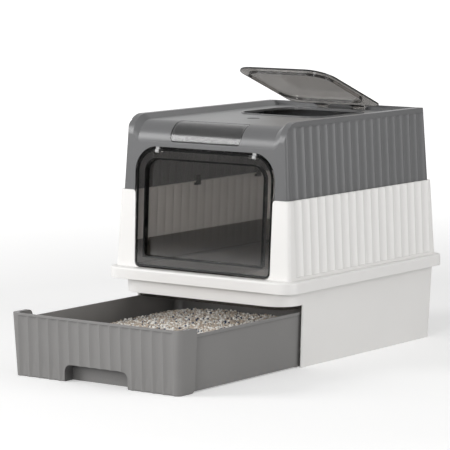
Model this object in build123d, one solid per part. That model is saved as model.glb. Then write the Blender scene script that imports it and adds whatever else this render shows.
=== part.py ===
from build123d import *
import os
from math import atan2, cos, degrees, hypot, radians, sin

# Enclosed litter box with a pull-out drawer, an entry flap and a top lid.
# Millimetres. X runs across the front, -Y is the front, Z is up from the floor.
# The origin is on the floor, in the middle of the base housing.
# The drawer is modelled pulled out and the lid part open.

os.makedirs("parts", exist_ok=True)

# ---- shared fits -----------------------------------------------------------
SEAT_GAP = 0.3            # between pieces that rest on or in each other
RUN_GAP = 0.05            # radial play of a pin in its bearing
PAST = 20.0               # how far a cutter runs past what it cuts

# ---- base housing ----------------------------------------------------------
BASE_HALF_X = 181.3       # at the floor
BASE_FRONT = -235.0       # at the floor
BASE_BACK = 238.7
BASE_FLARE_X = 4.5        # how much wider each side is at the top
BASE_FLARE_Y = 8.0
BASE_CORNER = 42.0        # the two rounds at the front
BASE_REAR_CORNER = 8.0
BASE_WALL = 2.6
BASE_FLOOR = 2.0
BASE_TOP = 155.0          # top of the flange that carries the tiers
BASE_FLANGE = 2.4
MOUTH_TOP = 112.5         # underside of the band over the drawer
MOUTH_BACK = -187.5       # front edges of the two side walls
GUIDE_Z = 30.0            # rib that keeps the drawer straight
GUIDE_HEIGHT = 4.0
GUIDE_GAP = 0.6
STOP_X = 100.0            # ribs that the closed drawer meets
STOP_WIDTH = 6.0
STOP_HEIGHT = 70.0
STOP_GAP = 0.6

# ---- drawer ----------------------------------------------------------------
DRAWER_OUT = 306.0        # how far the drawer stands open
FASCIA_FRONT = -234.1     # front face at the floor, drawer closed
FASCIA_LEAN = 3.9         # how far the top leans out
FASCIA_HALF_X = 178.2
FASCIA_FLARE = 5.8
FASCIA_TOP = 111.0
FASCIA_FOOT = 0.3
FASCIA_WALL = 2.8
FASCIA_CORNER = 10.0
WRAP_GAP = 3.0            # between the wrapped ends and the base side walls
WRAP_RADIUS = 9.0
FRONT_COVES = 15
FRONT_PITCH = 22.47
FRONT_COVE_DEPTH = 2.4
FRONT_COVE_TOP = 106.0
TRAY_HALF_X = 173.5
TRAY_FLARE = 3.5
TRAY_BACK = 226.0
TRAY_TOP = 99.0
TRAY_WALL = 2.4
TRAY_FLOOR = 2.4
TRAY_CORNER = 16.0
LIP_OUT = 1.5
LIP_HEIGHT = 5.0
HANDLE_HALF_X = 68.5
HANDLE_TOP = 30.0
HANDLE_CORNER = 13.0
HANDLE_DEPTH = 24.0
HANDLE_WALL = 2.2

# ---- litter ----------------------------------------------------------------
LITTER_EDGE = 57.0        # depth at the tray walls
LITTER_CROWN = 9.0        # how much higher the middle is
LITTER_GAP = 0.4

# ---- side coves shared by the two upper tiers ------------------------------
COVE_LAND = 0.8           # flat left between two coves, on the drawer too
SIDE_COVES = 18
SIDE_PITCH = 24.5
SIDE_COVE_DEPTH = 2.2

# ---- middle frame ----------------------------------------------------------
RIM_HALF_X = 205.0
RIM_HALF_Y = 258.3
RIM_CORNER = 29.0
RIM_LOW = 138.4
RIM_TOP = 159.4
RIM_WALL = 2.5
RIM_PLATE = 2.2
RIM_EDGE = 4.0
MID_HALF_X = 192.5
MID_HALF_Y = 240.0
MID_TAPER_X = 6.2
MID_TAPER_Y = 6.3
MID_TOP = 299.0
MID_WALL = 2.5
MID_CORNER = 6.0
MID_PLAIN = 6.6           # plain band under the coves
SOCKET_DEPTH = 3.7        # how deep the hood sits in the frame
LEDGE = 2.3
LEDGE_IN = 3.0            # how far the ledge reaches inside the hood wall
SOCKET_GAP = 0.4

# ---- litter guard ----------------------------------------------------------
GUARD_WALL = 1.8
GUARD_FLANGE = 2.0
GUARD_RIM_GAP = 7.5       # from the flange to the skirt around it
GUARD_LOW = 104.0
GUARD_LOW_HALF_X = 170.0
GUARD_LOW_HALF_Y = 222.0
GUARD_TOP = 201.5
GUARD_TOP_HALF_X = 184.4
GUARD_TOP_HALF_Y = 232.0
GUARD_FRONT = -222.0      # where the raised wall ends on each side
GUARD_EDGE_GAP = 2.0

# ---- hood ------------------------------------------------------------------
HOOD_HALF_X = 181.1
HOOD_HALF_Y = 232.1
HOOD_TAPER_X = 7.5
HOOD_TAPER_Y = 5.6
HOOD_TOP = 434.5
HOOD_WALL = 2.6
HOOD_CORNER = 6.0
HOOD_ROLL = 38.0          # roll-over from the front face to the top
HOOD_BACK_ROLL = 8.0
HOOD_PLAIN = 8.0          # plain band over the coves
DECK_DROP = 9.0           # depth of the sunk deck under the rails
DECK_THICK = 2.4
DECK_HALF_X = 149.0
DECK_SLOPE_X = 12.0       # width of the sloping sides of the deck
DECK_BACK = 216.0
HATCH_HALF_X = 95.0
HATCH_FRONT = -7.0
HATCH_BACK = 166.0
HATCH_CORNER = 40.0
COLLAR_WIDTH = 3.0
COLLAR_RISE = 2.0

# ---- entry flap and its opening --------------------------------------------
FLAP_FOOT = 162.0
FLAP_FOOT_FRONT = -239.0
FLAP_TIP_FRONT = -228.6   # front face at the height of the pivot
FLAP_PIVOT_Z = 371.5
FLAP_PIVOT_IN = 3.4       # pivot behind the front face
FLAP_ABOVE_PIVOT = 3.7
FLAP_HALF_LOW = 148.3
FLAP_HALF_HIGH = 150.0
FLAP_LOW_CORNER = 10.0
FLAP_HIGH_CORNER = 43.0
FLAP_THICK = 2.4
FLAP_MARGIN = 17.0
FLAP_SUNK = 9.0
FLAP_PANEL = 2.2
BEAD_WIDTH = 2.4
BEAD_RISE = 0.9
FLAP_SIDE_GAP = 1.5       # beside the flap in the middle frame
HOOD_SIDE_GAP = 4.0       # beside the flap in the hood
HOOD_TOP_GAP = 4.2        # over the flap
LUG_X = 107.0
LUG_WIDTH = 8.0
LUG_SIDE_GAP = 1.2
LUG_RADIUS = 3.6
LUG_STEM = 3.4
LUG_RISE = 6.0
PIN_RADIUS = 1.5
BOSS_RADIUS = 3.1
BOSS_LENGTH = 7.0

# ---- front window ----------------------------------------------------------
WINDOW_HALF_X = 78.0
WINDOW_CORNER = 8.0
WINDOW_THICK = 1.7
WINDOW_LIP = 4.0
WINDOW_TOP_Y = -192.5     # upper edge on the deck
WINDOW_LOW_Z = 389.5      # lower edge on the front

# ---- deck plug -------------------------------------------------------------
PLUG_RADIUS = 12.0
PLUG_Y = -79.0
PLUG_SUNK = 1.5
PLUG_DISH = 0.7
PLUG_RIM = 1.5

# ---- top lid and its hinge -------------------------------------------------
LID_OPEN = 21.1           # angle at which the lid stands
LID_HALF_X = 103.0
LID_FRONT = -20.5
LID_BACK = 192.0
LID_CORNER = 42.0
LID_REAR_CORNER = 20.0
LID_THICK = 2.4
SPIGOT_GAP = 3.0
SPIGOT_WIDTH = 2.2
SPIGOT_DEPTH = 4.2
HINGE_Y = 209.5
HINGE_RISE = 4.1          # hinge axis over the deck
KNUCKLE_RADIUS = 3.3
KNUCKLE_IN = 27.0
KNUCKLE_OUT = 54.0
KNUCKLE_GAP = 0.8
ROD_RADIUS = 1.5
ROD_END = 1.6             # how far the rod shows past the knuckles

# ---- hood clips ------------------------------------------------------------
CLIP_COVES = (-0.5, 7.5)  # places along the side, in coves from the middle
CLIP_LENGTH = 14.0
CLIP_STEM = 2.1
CLIP_NOSE = 4.0
CLIP_HIGH = 11.0
CLIP_NOSE_HEIGHT = 5.0

# ---- levels that follow ----------------------------------------------------
HOOD_LOW = MID_TOP - SOCKET_DEPTH
LEDGE_LOW = HOOD_LOW - LEDGE
DECK_Z = HOOD_TOP - DECK_DROP
TRAY_LOW = BASE_FLOOR + SEAT_GAP
TRAY_IN_Z = TRAY_LOW + TRAY_FLOOR
LID_LOW = DECK_Z + COLLAR_RISE + SEAT_GAP
HINGE_Z = DECK_Z + HINGE_RISE
WRAP_BACK = MOUTH_BACK - WRAP_GAP
SIDE_SPAN = SIDE_COVES * SIDE_PITCH
FRONT_SPAN = FRONT_COVES * FRONT_PITCH


def between(low, high, z):
    """Section of a straight-sided tub at height z; sections are (half x, front, back, corner, z)."""
    share = (z - low[4]) / (high[4] - low[4])
    return tuple(a + (b - a) * share for a, b in zip(low, high))


def shrunk(section, wall):
    """The same section moved in by a wall thickness."""
    half_x, front, back, corner, z = section
    return (half_x - wall, front + wall, back - wall, max(corner - wall, 1.0), z)


def flank(low, high, start):
    """Four corners of a tub's flank; start 0 gives its front view and 1 its side view."""
    limits = [(-section[0], section[0]) if start == 0 else (section[1], section[2]) for section in (low, high)]
    (near_low, far_low), (near_high, far_high) = limits
    return [(near_low, low[4]), (far_low, low[4]), (far_high, high[4]), (near_high, high[4])]


def uprights(body):
    """Edges of a body that run upwards, from the front to the back."""
    return body.edges().filter_by(lambda edge: abs(edge.tangent_at(0.5).Z) > 0.5).sort_by(Axis.Y)


def tub(low, high, rear=None):
    """Solid tub between two sections: four leaning planes joined by rounds; rear is the back rounds' radius."""
    front_view = make_face(Polyline(*flank(low, high, 0), close=True))
    side_view = make_face(Polyline(*flank(low, high, 1), close=True))
    reach = abs(low[1]) + abs(low[2]) + abs(high[1]) + abs(high[2]) + PAST
    body = extrude(Plane.XZ * front_view, amount=reach, both=True)
    body &= extrude(Plane.YZ * side_view, amount=reach, both=True)
    if rear is None:
        return fillet(uprights(body), low[3])
    body = fillet(uprights(body)[:2], low[3])
    return fillet(uprights(body)[-2:], rear)


def inside(low, high, wall):
    """Inner space of a tub, run on past both of its ends."""
    under = shrunk(between(low, high, low[4] - PAST), wall)
    over = shrunk(between(low, high, high[4] + PAST), wall)
    return tub(under, over)


def slab(section, low, high):
    """Upright slab with one section's outline between two heights."""
    half_x, front, back, corner, _ = section
    outline = Pos(0, (front + back) / 2, low) * RectangleRounded(2 * half_x, back - front, corner)
    return extrude(outline, amount=high - low)


def block(x0, x1, y0, y1, z0, z1):
    """Box given by its limits."""
    size = (x1 - x0, y1 - y0, z1 - z0)
    return Pos((x0 + x1) / 2, (y0 + y1) / 2, (z0 + z1) / 2) * Box(*size)


def rod_x(radius, x0, x1, y, z):
    """Round bar along X."""
    return Pos((x0 + x1) / 2, y, z) * Rot(0, 90, 0) * Cylinder(radius, x1 - x0)


def cove_radius(pitch, depth):
    """Radius of a cove of this depth that leaves a land beside it."""
    half = (pitch - COVE_LAND) / 2
    return (half * half + depth * depth) / (2 * depth)


def leaning_bar(radius, x0, y0, z0, x1, y1, z1):
    """Round bar between two points."""
    start = Vector(x0, y0, z0)
    run = Vector(x1, y1, z1) - start
    return extrude(Plane(origin=start, z_dir=run) * Circle(radius), amount=run.length)


def side_coves(low, high, z0, z1, grow):
    """Bars that cut the coves on both sides; grow turns them into the ridges inside the wall."""
    radius = cove_radius(SIDE_PITCH, SIDE_COVE_DEPTH)
    x0 = between(low, high, z0)[0] - SIDE_COVE_DEPTH + radius
    x1 = between(low, high, z1)[0] - SIDE_COVE_DEPTH + radius
    bars = []
    for index in range(SIDE_COVES):
        y = -SIDE_SPAN / 2 + (index + 0.5) * SIDE_PITCH
        bars.append(leaning_bar(radius + grow, x0, y, z0, x1, y, z1))
        bars.append(leaning_bar(radius + grow, -x0, y, z0, -x1, y, z1))
    return bars


def base_sections():
    """Outline of the base housing at the floor and under its flange."""
    top = BASE_TOP - BASE_FLANGE
    low = (BASE_HALF_X, BASE_FRONT, BASE_BACK, BASE_CORNER, 0.0)
    half_x = BASE_HALF_X + BASE_FLARE_X
    return low, (half_x, BASE_FRONT - BASE_FLARE_Y, BASE_BACK + BASE_FLARE_Y, BASE_CORNER, top)


def mid_sections():
    """Outline of the middle frame at its rim and at its top edge."""
    low = (MID_HALF_X, -MID_HALF_Y, MID_HALF_Y, MID_CORNER, RIM_TOP)
    half_x = MID_HALF_X - MID_TAPER_X
    half_y = MID_HALF_Y - MID_TAPER_Y
    return low, (half_x, -half_y, half_y, MID_CORNER, MID_TOP)


def hood_sections():
    """Outline of the hood at its lower edge and at the top of its rails."""
    low = (HOOD_HALF_X, -HOOD_HALF_Y, HOOD_HALF_Y, HOOD_CORNER, HOOD_LOW)
    half_x = HOOD_HALF_X - HOOD_TAPER_X
    half_y = HOOD_HALF_Y - HOOD_TAPER_Y
    return low, (half_x, -half_y, half_y, HOOD_CORNER, HOOD_TOP)


def tray_sections():
    """Outline of the drawer's tray, drawer closed, at its underside and its top."""
    front = FASCIA_FRONT + FASCIA_WALL / 2
    low = (TRAY_HALF_X, front, TRAY_BACK, TRAY_CORNER, TRAY_LOW)
    return low, (TRAY_HALF_X + TRAY_FLARE, front, TRAY_BACK + TRAY_FLARE, TRAY_CORNER, TRAY_TOP)


def fascia_sections():
    """Outline of the drawer front, drawer closed, at its foot and its top."""
    back = WRAP_BACK + PAST
    low = (FASCIA_HALF_X, FASCIA_FRONT, back, FASCIA_CORNER, FASCIA_FOOT)
    high_x = FASCIA_HALF_X + FASCIA_FLARE
    return low, (high_x, FASCIA_FRONT - FASCIA_LEAN, back, FASCIA_CORNER, FASCIA_TOP)


def make_base_housing():
    """White outer housing that the drawer runs in and the tiers stand on."""
    low, high = base_sections()
    inner_low = shrunk(between(low, high, BASE_FLOOR), BASE_WALL)
    inner_high = shrunk(between(low, high, BASE_TOP + PAST), BASE_WALL)
    skirt_in = RIM_WALL + SEAT_GAP
    rim = (RIM_HALF_X, -RIM_HALF_Y, RIM_HALF_Y, RIM_CORNER, 0.0)
    body = tub(low, high, BASE_REAR_CORNER) + slab(shrunk(rim, skirt_in), high[4], BASE_TOP)
    body -= tub(inner_low, inner_high, BASE_REAR_CORNER - BASE_WALL)
    wide = BASE_HALF_X + PAST
    body -= block(-wide, wide, BASE_FRONT - PAST, MOUTH_BACK, -PAST, MOUTH_TOP)
    tray_low, tray_high = tray_sections()
    rib_mid = GUIDE_Z + GUIDE_HEIGHT / 2
    rib_x = between(tray_low, tray_high, rib_mid)[0] + GUIDE_GAP
    wall_x = between(low, high, rib_mid)[0] - BASE_WALL / 2
    rib_ends = (MOUTH_BACK + 2 * WRAP_GAP, TRAY_BACK - TRAY_CORNER)
    stop_y = between(tray_low, tray_high, BASE_FLOOR + STOP_HEIGHT)[2] + STOP_GAP
    wall_y = BASE_BACK - BASE_WALL / 2
    for side in (-1, 1):
        near, far = sorted((side * rib_x, side * wall_x))
        body += block(near, far, *rib_ends, GUIDE_Z, GUIDE_Z + GUIDE_HEIGHT)
        x0 = side * STOP_X - STOP_WIDTH / 2
        body += block(x0, x0 + STOP_WIDTH, stop_y, wall_y, BASE_FLOOR, BASE_FLOOR + STOP_HEIGHT)
    return body


def front_cove_bars(grow):
    """Bars that cut the coves of the drawer front, drawer closed."""
    radius = cove_radius(FRONT_PITCH, FRONT_COVE_DEPTH)
    low, high = fascia_sections()
    z0 = FASCIA_FOOT - PAST
    y0 = between(low, high, z0)[1] + FRONT_COVE_DEPTH - radius
    y1 = between(low, high, FRONT_COVE_TOP)[1] + FRONT_COVE_DEPTH - radius
    bars = []
    for index in range(FRONT_COVES):
        x = -FRONT_SPAN / 2 + (index + 0.5) * FRONT_PITCH
        bars.append(leaning_bar(radius + grow, x, y0, z0, x, y1, FRONT_COVE_TOP))
    return bars


def wrap_profile():
    """Side view of the drawer front, rounded where its wrapped ends stop."""
    front = FASCIA_FRONT - FASCIA_LEAN - PAST
    radius = WRAP_RADIUS
    outline = Polyline(
        (WRAP_BACK - radius, FASCIA_TOP),
        (front, FASCIA_TOP),
        (front, FASCIA_FOOT),
        (WRAP_BACK - radius, FASCIA_FOOT),
    )
    low_arc = RadiusArc((WRAP_BACK - radius, FASCIA_FOOT), (WRAP_BACK, FASCIA_FOOT + radius), -radius)
    high_arc = RadiusArc((WRAP_BACK, FASCIA_TOP - radius), (WRAP_BACK - radius, FASCIA_TOP), -radius)
    end = Line((WRAP_BACK, FASCIA_FOOT + radius), (WRAP_BACK, FASCIA_TOP - radius))
    return make_face(outline + low_arc + end + high_arc)


def handle_face(half_x, top, corner, low):
    """Hand hole seen from the front, rounded at its two upper corners."""
    sides = Polyline((-half_x, top - corner), (-half_x, low), (half_x, low), (half_x, top - corner))
    right = RadiusArc((half_x, top - corner), (half_x - corner, top), -corner)
    over = Line((half_x - corner, top), (-half_x + corner, top))
    left = RadiusArc((-half_x + corner, top), (-half_x, top - corner), -corner)
    return make_face(sides + right + over + left)


def make_drawer_tray():
    """Grey drawer: fluted front that wraps both corners, tray behind it, hand pocket below."""
    low, high = fascia_sections()
    tray_low, tray_high = tray_sections()
    side_view = extrude(Plane.YZ * wrap_profile(), amount=FASCIA_HALF_X + PAST, both=True)
    fascia = tub(low, high) & side_view
    fascia -= front_cove_bars(0.0)
    lip_low = TRAY_TOP - LIP_HEIGHT
    lip = shrunk(tray_high, -LIP_OUT)
    body = fascia + tub(tray_low, tray_high) + slab(lip, lip_low, TRAY_TOP)
    inside_low = shrunk(between(tray_low, tray_high, TRAY_IN_Z), TRAY_WALL)
    over = FASCIA_TOP + PAST
    inside_high = shrunk(between(tray_low, tray_high, over), TRAY_WALL)
    front_low = between(low, high, TRAY_IN_Z)[1] + FASCIA_WALL
    front_high = between(low, high, over)[1] + FASCIA_WALL
    inside_low = (inside_low[0], front_low, inside_low[2], inside_low[3], inside_low[4])
    inside_high = (inside_high[0], front_high, inside_high[2], inside_high[3], inside_high[4])
    cavity = tub(inside_low, inside_high)
    pocket_back = FASCIA_FRONT + HANDLE_DEPTH
    cavity -= front_cove_bars(FASCIA_WALL)
    hand = handle_face(
        HANDLE_HALF_X + HANDLE_WALL, HANDLE_TOP + HANDLE_WALL, HANDLE_CORNER + HANDLE_WALL, TRAY_LOW
    )
    reach = FASCIA_LEAN + PAST
    shell = extrude(Plane.XZ.offset(-pocket_back - HANDLE_WALL) * hand, amount=HANDLE_DEPTH + HANDLE_WALL + reach)
    cavity -= shell
    body -= cavity
    hole = handle_face(HANDLE_HALF_X, HANDLE_TOP, HANDLE_CORNER, -PAST)
    body -= extrude(Plane.XZ.offset(-pocket_back) * hole, amount=HANDLE_DEPTH + reach)
    return Pos(0, -DRAWER_OUT, 0) * body


def make_litter_fill():
    """Granules lying in the drawer, crowned towards the middle."""
    tray_low, tray_high = tray_sections()
    top = TRAY_IN_Z + LITTER_EDGE + LITTER_CROWN
    wall = TRAY_WALL + LITTER_GAP
    low = shrunk(between(tray_low, tray_high, TRAY_IN_Z), wall)
    high = shrunk(between(tray_low, tray_high, top), wall)
    front = FASCIA_FRONT + HANDLE_DEPTH + HANDLE_WALL + LITTER_GAP
    low = (low[0], front, low[2], low[3], low[4])
    high = (high[0], front, high[2], high[3], high[4])
    radius = (low[0] * low[0] + LITTER_CROWN * LITTER_CROWN) / (2 * LITTER_CROWN)
    arch = Plane.XZ * Pos(0, top - radius) * Circle(radius)
    body = tub(low, high) & extrude(arch, amount=2 * BASE_BACK, both=True)
    return Pos(0, -DRAWER_OUT, 0) * body


def make_splash_guard():
    """Smoked ring between the tiers: funnel below, raised wall on three sides."""
    flange_z = BASE_TOP
    flange_top = flange_z + GUARD_FLANGE
    base_low, base_high = base_sections()
    neck = shrunk(base_high, BASE_WALL + GUARD_EDGE_GAP)
    corner = neck[3]
    neck = (neck[0], neck[1], neck[2], corner, flange_z)
    foot = (GUARD_LOW_HALF_X, -GUARD_LOW_HALF_Y, GUARD_LOW_HALF_Y, corner, GUARD_LOW)
    rise_low = (neck[0], -GUARD_TOP_HALF_Y, GUARD_TOP_HALF_Y, corner, flange_top)
    rise_high = (GUARD_TOP_HALF_X, -GUARD_TOP_HALF_Y, GUARD_TOP_HALF_Y, corner, GUARD_TOP)
    raised_room = inside(rise_low, rise_high, GUARD_WALL)
    raised = tub(rise_low, rise_high) - raised_room
    reach = GUARD_TOP_HALF_X + PAST
    raised -= block(-reach, reach, -RIM_HALF_Y, GUARD_FRONT, flange_top - 1.0, GUARD_TOP + PAST)
    funnel = tub(foot, neck) - inside(foot, neck, GUARD_WALL)
    rim = (RIM_HALF_X, -RIM_HALF_Y, RIM_HALF_Y, RIM_CORNER, flange_z)
    flange = slab(shrunk(rim, RIM_WALL + GUARD_RIM_GAP), flange_z, flange_top) - raised_room
    return funnel + flange + raised


def opening_face(half_low, half_high, low, corner_low, high):
    """Front view of the opening in the middle frame, flared by a round at its upper corners."""
    flare = MID_CORNER
    straight = high - flare
    left = -half_high - flare
    tip = high + PAST
    points = [
        (half_low, low + corner_low),
        (half_high, straight),
    ]
    right_side = Line(*points)
    right_round = RadiusArc((half_high, straight), (half_high + flare, high), flare)
    over = Polyline((half_high + flare, high), (half_high + flare, tip), (left, tip), (left, high))
    left_round = RadiusArc((left, high), (-half_high, straight), flare)
    left_side = Line((-half_high, straight), (-half_low, low + corner_low))
    left_foot = RadiusArc((-half_low, low + corner_low), (-half_low + corner_low, low), -corner_low)
    foot = Line((-half_low + corner_low, low), (half_low - corner_low, low))
    right_foot = RadiusArc((half_low - corner_low, low), (half_low, low + corner_low), -corner_low)
    return make_face(right_side + right_round + over + left_round + left_side + left_foot + foot + right_foot)


def make_mid_frame():
    """White fluted frame with a hanging rim below and a socket for the hood above."""
    low, high = mid_sections()
    rim = (RIM_HALF_X, -RIM_HALF_Y, RIM_HALF_Y, RIM_CORNER, RIM_LOW)
    skirt = slab(rim, RIM_LOW, RIM_TOP)
    skirt = fillet(skirt.edges().group_by(Axis.Z)[-1], RIM_EDGE)
    skirt -= slab(shrunk(rim, RIM_WALL), RIM_LOW - 1.0, RIM_TOP - RIM_PLATE)
    wall = tub(low, high) - side_coves(low, high, RIM_TOP + MID_PLAIN, MID_TOP + PAST, 0.0)
    body = skirt + wall
    plate_low = RIM_TOP - RIM_PLATE
    in_low = shrunk(between(low, high, plate_low - PAST), MID_WALL)
    in_high = shrunk(between(low, high, LEDGE_LOW), MID_WALL)
    room = tub(in_low, in_high)
    room -= side_coves(low, high, RIM_TOP + MID_PLAIN, LEDGE_LOW + 1.0, MID_WALL)
    body -= room
    hood_low = hood_sections()[0]
    socket = shrunk(hood_low, -SOCKET_GAP)
    body -= slab(socket, HOOD_LOW, MID_TOP + PAST)
    body -= slab(shrunk(hood_low, HOOD_WALL + LEDGE_IN), LEDGE_LOW - 1.0, HOOD_LOW + 1.0)
    half_low = FLAP_HALF_LOW + FLAP_SIDE_GAP
    half_high = FLAP_HALF_HIGH + FLAP_SIDE_GAP
    opening = opening_face(half_low, half_high, RIM_TOP, FLAP_LOW_CORNER + FLAP_SIDE_GAP, MID_TOP)
    body -= extrude(Plane.XZ.offset(-MID_CORNER - GUARD_FRONT) * opening, amount=RIM_HALF_Y / 2)
    return body


def roll_face(drop, half_round, back, grow, far):
    """Side view of what lies outside the hood's top line, lowered by drop and thickened by grow."""
    front_face = roll_front()
    centre_y = front_face + half_round
    centre_z = HOOD_TOP - drop - half_round
    radius = half_round - grow
    top = centre_z + radius
    arc = RadiusArc((centre_y, top), (centre_y - radius, centre_z), -radius)
    rest = Polyline(
        (centre_y - radius, centre_z),
        (-far, centre_z),
        (-far, HOOD_TOP + PAST),
        (back, HOOD_TOP + PAST),
        (back, top),
        (centre_y, top),
    )
    return make_face(arc + rest)


def roll_front():
    """Y of the hood's front face where the roll-over starts."""
    low, high = hood_sections()
    return between(low, high, HOOD_TOP - HOOD_ROLL)[1]


def deck_form(grow):
    """What is sunk between the rails: flat deck, roll-over to the front and two sloping sides."""
    far = HOOD_HALF_Y + PAST
    back = DECK_BACK + grow
    floor = roll_face(DECK_DROP, HOOD_ROLL, back, grow, far)
    brim = roll_face(0.0, HOOD_ROLL, back, grow, far)
    form = extrude(Plane.YZ * floor, amount=DECK_HALF_X, both=True)
    for side in (-1, 1):
        foot = Plane.YZ.offset(side * DECK_HALF_X) * floor
        edge = Plane.YZ.offset(side * (DECK_HALF_X + DECK_SLOPE_X)) * brim
        form += loft([foot, edge], ruled=True)
    return form


def hood_form(inset, drop):
    """Whole outside of the hood, or its inside when inset is the wall; drop lengthens it below."""
    low, high = hood_sections()
    foot = between(low, high, HOOD_LOW - drop)
    body = tub(shrunk(foot, inset), shrunk(high, inset))
    reach = HOOD_HALF_X + PAST
    front = roll_face(0.0, HOOD_ROLL, 0.0, inset, HOOD_HALF_Y + PAST)
    body -= extrude(Plane.YZ * front, amount=reach, both=True)
    back_y = high[2] - inset
    top = HOOD_TOP - inset
    radius = HOOD_BACK_ROLL - inset
    arc = RadiusArc((back_y, top - radius), (back_y - radius, top), -radius)
    rest = Polyline(
        (back_y - radius, top),
        (-PAST, top),
        (-PAST, HOOD_TOP + PAST),
        (HOOD_HALF_Y + PAST, HOOD_TOP + PAST),
        (HOOD_HALF_Y + PAST, top - radius),
        (back_y, top - radius),
    )
    return body - extrude(Plane.YZ * make_face(arc + rest), amount=reach, both=True)


def window_prism(grow, inset):
    """Rounded outline of the front window, seen square on and run through the roll-over."""
    top = Vector(0, WINDOW_TOP_Y, DECK_Z)
    foot = Vector(0, roll_front(), WINDOW_LOW_Z)
    centre = (top + foot) / 2
    length = (top - foot).length + 2 * (grow - inset)
    width = 2 * (WINDOW_HALF_X + grow - inset)
    radius = WINDOW_CORNER + grow - inset
    view = Plane(origin=centre, x_dir=(1, 0, 0), z_dir=(0, foot.Z - top.Z, top.Y - foot.Y))
    return extrude(view * RectangleRounded(width, length, radius), amount=HOOD_ROLL, both=True)


def roll_ring(outer, inner):
    """Ring about the axis of the deck's roll-over."""
    centre_y = roll_front() + HOOD_ROLL
    centre_z = DECK_Z - HOOD_ROLL
    half = WINDOW_HALF_X + PAST
    return rod_x(outer, -half, half, centre_y, centre_z) - rod_x(inner, -half - 1, half + 1, centre_y, centre_z)


def flap_outline(margin):
    """Outline of the flap in its own plane, moved in by margin; y is height over its foot."""
    half_low = FLAP_HALF_LOW - margin
    half_high = FLAP_HALF_HIGH - margin
    low = margin
    high = flap_height() - margin
    low_corner = max(FLAP_LOW_CORNER - margin, FLAP_LOW_CORNER / 2)
    high_corner = FLAP_HIGH_CORNER - margin
    corners = [(-half_low, low), (half_low, low), (half_high, high), (-half_high, high)]
    face = make_face(Polyline(*corners, close=True))
    feet = face.vertices().group_by(Axis.Y)[0]
    face = fillet(feet, low_corner)
    heads = face.vertices().group_by(Axis.Y)[-1]
    return fillet(heads, high_corner)


def flap_tilt():
    """Angle of the flap from upright, in degrees."""
    return degrees(atan2(FLAP_TIP_FRONT - FLAP_FOOT_FRONT, FLAP_PIVOT_Z - FLAP_FOOT))


def flap_height():
    """Length of the flap from its foot to its upper edge."""
    return hypot(FLAP_TIP_FRONT - FLAP_FOOT_FRONT, FLAP_PIVOT_Z - FLAP_FOOT) + FLAP_ABOVE_PIVOT


def pivot():
    """Y and Z of the flap's pivot."""
    tilt = radians(flap_tilt())
    return FLAP_TIP_FRONT + FLAP_PIVOT_IN * cos(tilt), FLAP_PIVOT_Z - FLAP_PIVOT_IN * sin(tilt)


def make_entry_flap():
    """Smoked flap: beaded flange, sunk panel and a boss each side of both hinge notches."""
    view = Plane(origin=(0, 0, 0), x_dir=(1, 0, 0), z_dir=(0, -1, 0))
    thick = FLAP_SUNK + FLAP_PANEL
    body = extrude(view * flap_outline(0.0), amount=-FLAP_THICK)
    body += extrude(view * flap_outline(FLAP_MARGIN), amount=-thick)
    body += extrude(view * (flap_outline(0.0) - flap_outline(BEAD_WIDTH)), amount=BEAD_RISE)
    pan = flap_outline(FLAP_MARGIN + FLAP_PANEL)
    body -= extrude(view.offset(PAST) * pan, amount=-PAST - FLAP_SUNK)
    pivot_up = flap_height() - FLAP_ABOVE_PIVOT
    notch = LUG_WIDTH / 2 + LUG_SIDE_GAP
    deep = LUG_RADIUS + LUG_SIDE_GAP
    for side in (-1, 1):
        x = side * LUG_X
        reach = notch + BOSS_LENGTH
        body += rod_x(BOSS_RADIUS, x - reach, x + reach, FLAP_PIVOT_IN, pivot_up)
        body -= block(x - notch, x + notch, -PAST, PAST, pivot_up - deep, pivot_up + PAST)
        body -= rod_x(PIN_RADIUS + RUN_GAP / 5, x - reach - 1, x + reach + 1, FLAP_PIVOT_IN, pivot_up)
    place = Pos(0, FLAP_FOOT_FRONT, FLAP_FOOT) * Rot(-flap_tilt(), 0, 0)
    return place * body


def make_flap_pins():
    """Two short pins, each across one hinge notch of the flap."""
    y, z = pivot()
    reach = LUG_WIDTH / 2 + LUG_SIDE_GAP + BOSS_LENGTH
    return [rod_x(PIN_RADIUS, s * LUG_X - reach, s * LUG_X + reach, y, z) for s in (-1, 1)]


def make_flap_lugs():
    """Two light grey clips behind the hood's front wall that carry the flap's pins."""
    y, z = pivot()
    low, high = hood_sections()
    opening_top = FLAP_PIVOT_Z + FLAP_ABOVE_PIVOT + HOOD_TOP_GAP
    wall_y = between(low, high, opening_top + LUG_RISE)[1] + HOOD_WALL + SEAT_GAP / 2
    lugs = []
    for side in (-1, 1):
        x0 = side * LUG_X - LUG_WIDTH / 2
        x1 = x0 + LUG_WIDTH
        lug = rod_x(LUG_RADIUS, x0, x1, y, z)
        lug += block(x0, x1, wall_y, wall_y + LUG_STEM, z, opening_top + LUG_RISE)
        lug -= rod_x(PIN_RADIUS + RUN_GAP, x0 - 1, x1 + 1, y, z)
        lugs.append(lug)
    return lugs


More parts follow.
